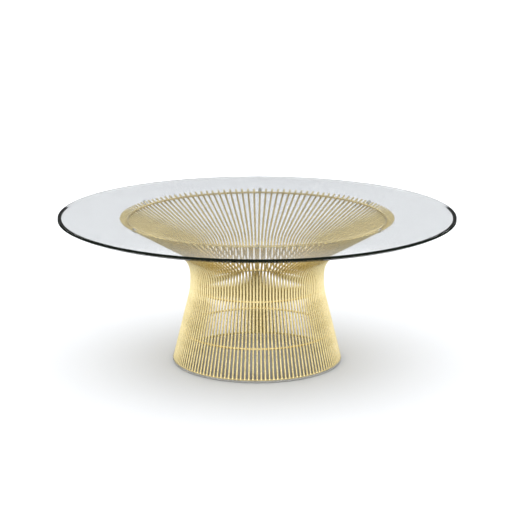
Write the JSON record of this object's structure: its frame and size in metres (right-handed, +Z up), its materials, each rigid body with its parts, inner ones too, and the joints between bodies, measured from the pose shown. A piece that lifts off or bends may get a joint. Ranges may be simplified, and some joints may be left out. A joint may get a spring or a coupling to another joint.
{
  "type": "round glass-top wire-base coffee table",
  "caption": "Round clear glass coffee table top with its edge bevelled underneath, lying loose on a waisted, flared cage of welded gold wire rods tied by hoops.",
  "frame": {"origin": "on the floor, at the centre of the foot ring's underside", "axes": "+Z up through the middle of the table; -Y runs through the middle of one rod, and the table has no other front"},
  "size_m": [1.067, 1.067, 0.406],
  "materials": {
    "clear_glass": "polished",
    "satin_gold": "satin",
    "clear_plastic": "gloss"
  },
  "bodies": {
    "base": {"foot_ring": "clear_plastic", "base_hoop": "satin_gold", "lower_hoop": "satin_gold", "waist_hoop": "satin_gold", "top_hoop": "satin_gold", "rod_group_01": "satin_gold", "rod_group_02": "satin_gold", "rod_group_03": "satin_gold", "rod_group_04": "satin_gold", "rod_group_05": "satin_gold", "rod_group_06": "satin_gold", "rod_group_07": "satin_gold", "rod_group_08": "satin_gold", "rod_group_09": "satin_gold", "rod_group_10": "satin_gold", "rod_group_11": "satin_gold", "rod_group_12": "satin_gold", "rod_group_13": "satin_gold", "rod_group_14": "satin_gold", "rod_group_15": "satin_gold", "rod_group_16": "satin_gold", "rod_group_17": "satin_gold", "rod_group_18": "satin_gold", "rod_group_19": "satin_gold", "rod_group_20": "satin_gold", "rod_group_21": "satin_gold", "rod_group_22": "satin_gold", "rod_group_23": "satin_gold", "rod_group_24": "satin_gold", "rod_group_25": "satin_gold", "rod_group_26": "satin_gold", "rod_group_27": "satin_gold", "rod_group_28": "satin_gold", "rod_group_29": "satin_gold", "rod_group_30": "satin_gold", "rod_group_31": "satin_gold", "rod_group_32": "satin_gold", "rod_group_33": "satin_gold", "rod_group_34": "satin_gold", "rod_group_35": "satin_gold", "rod_group_36": "satin_gold", "rod_group_37": "satin_gold", "rod_group_38": "satin_gold", "rod_group_39": "satin_gold", "rod_group_40": "satin_gold", "rod_group_41": "satin_gold", "rod_group_42": "satin_gold", "rod_group_43": "satin_gold", "rod_group_44": "satin_gold", "tip_bumper_1": "clear_plastic", "tip_bumper_2": "clear_plastic", "tip_bumper_3": "clear_plastic", "tip_bumper_4": "clear_plastic", "tip_bumper_5": "clear_plastic", "tip_bumper_6": "clear_plastic"},
    "glass": {"glass_top": "clear_glass"}
  },
  "joints": [
    {"name": "glass_lift", "type": "slide", "parent": "base", "child": "glass", "axis": [0, 0, 1], "range_m": [0, 0.15]}
  ]
}
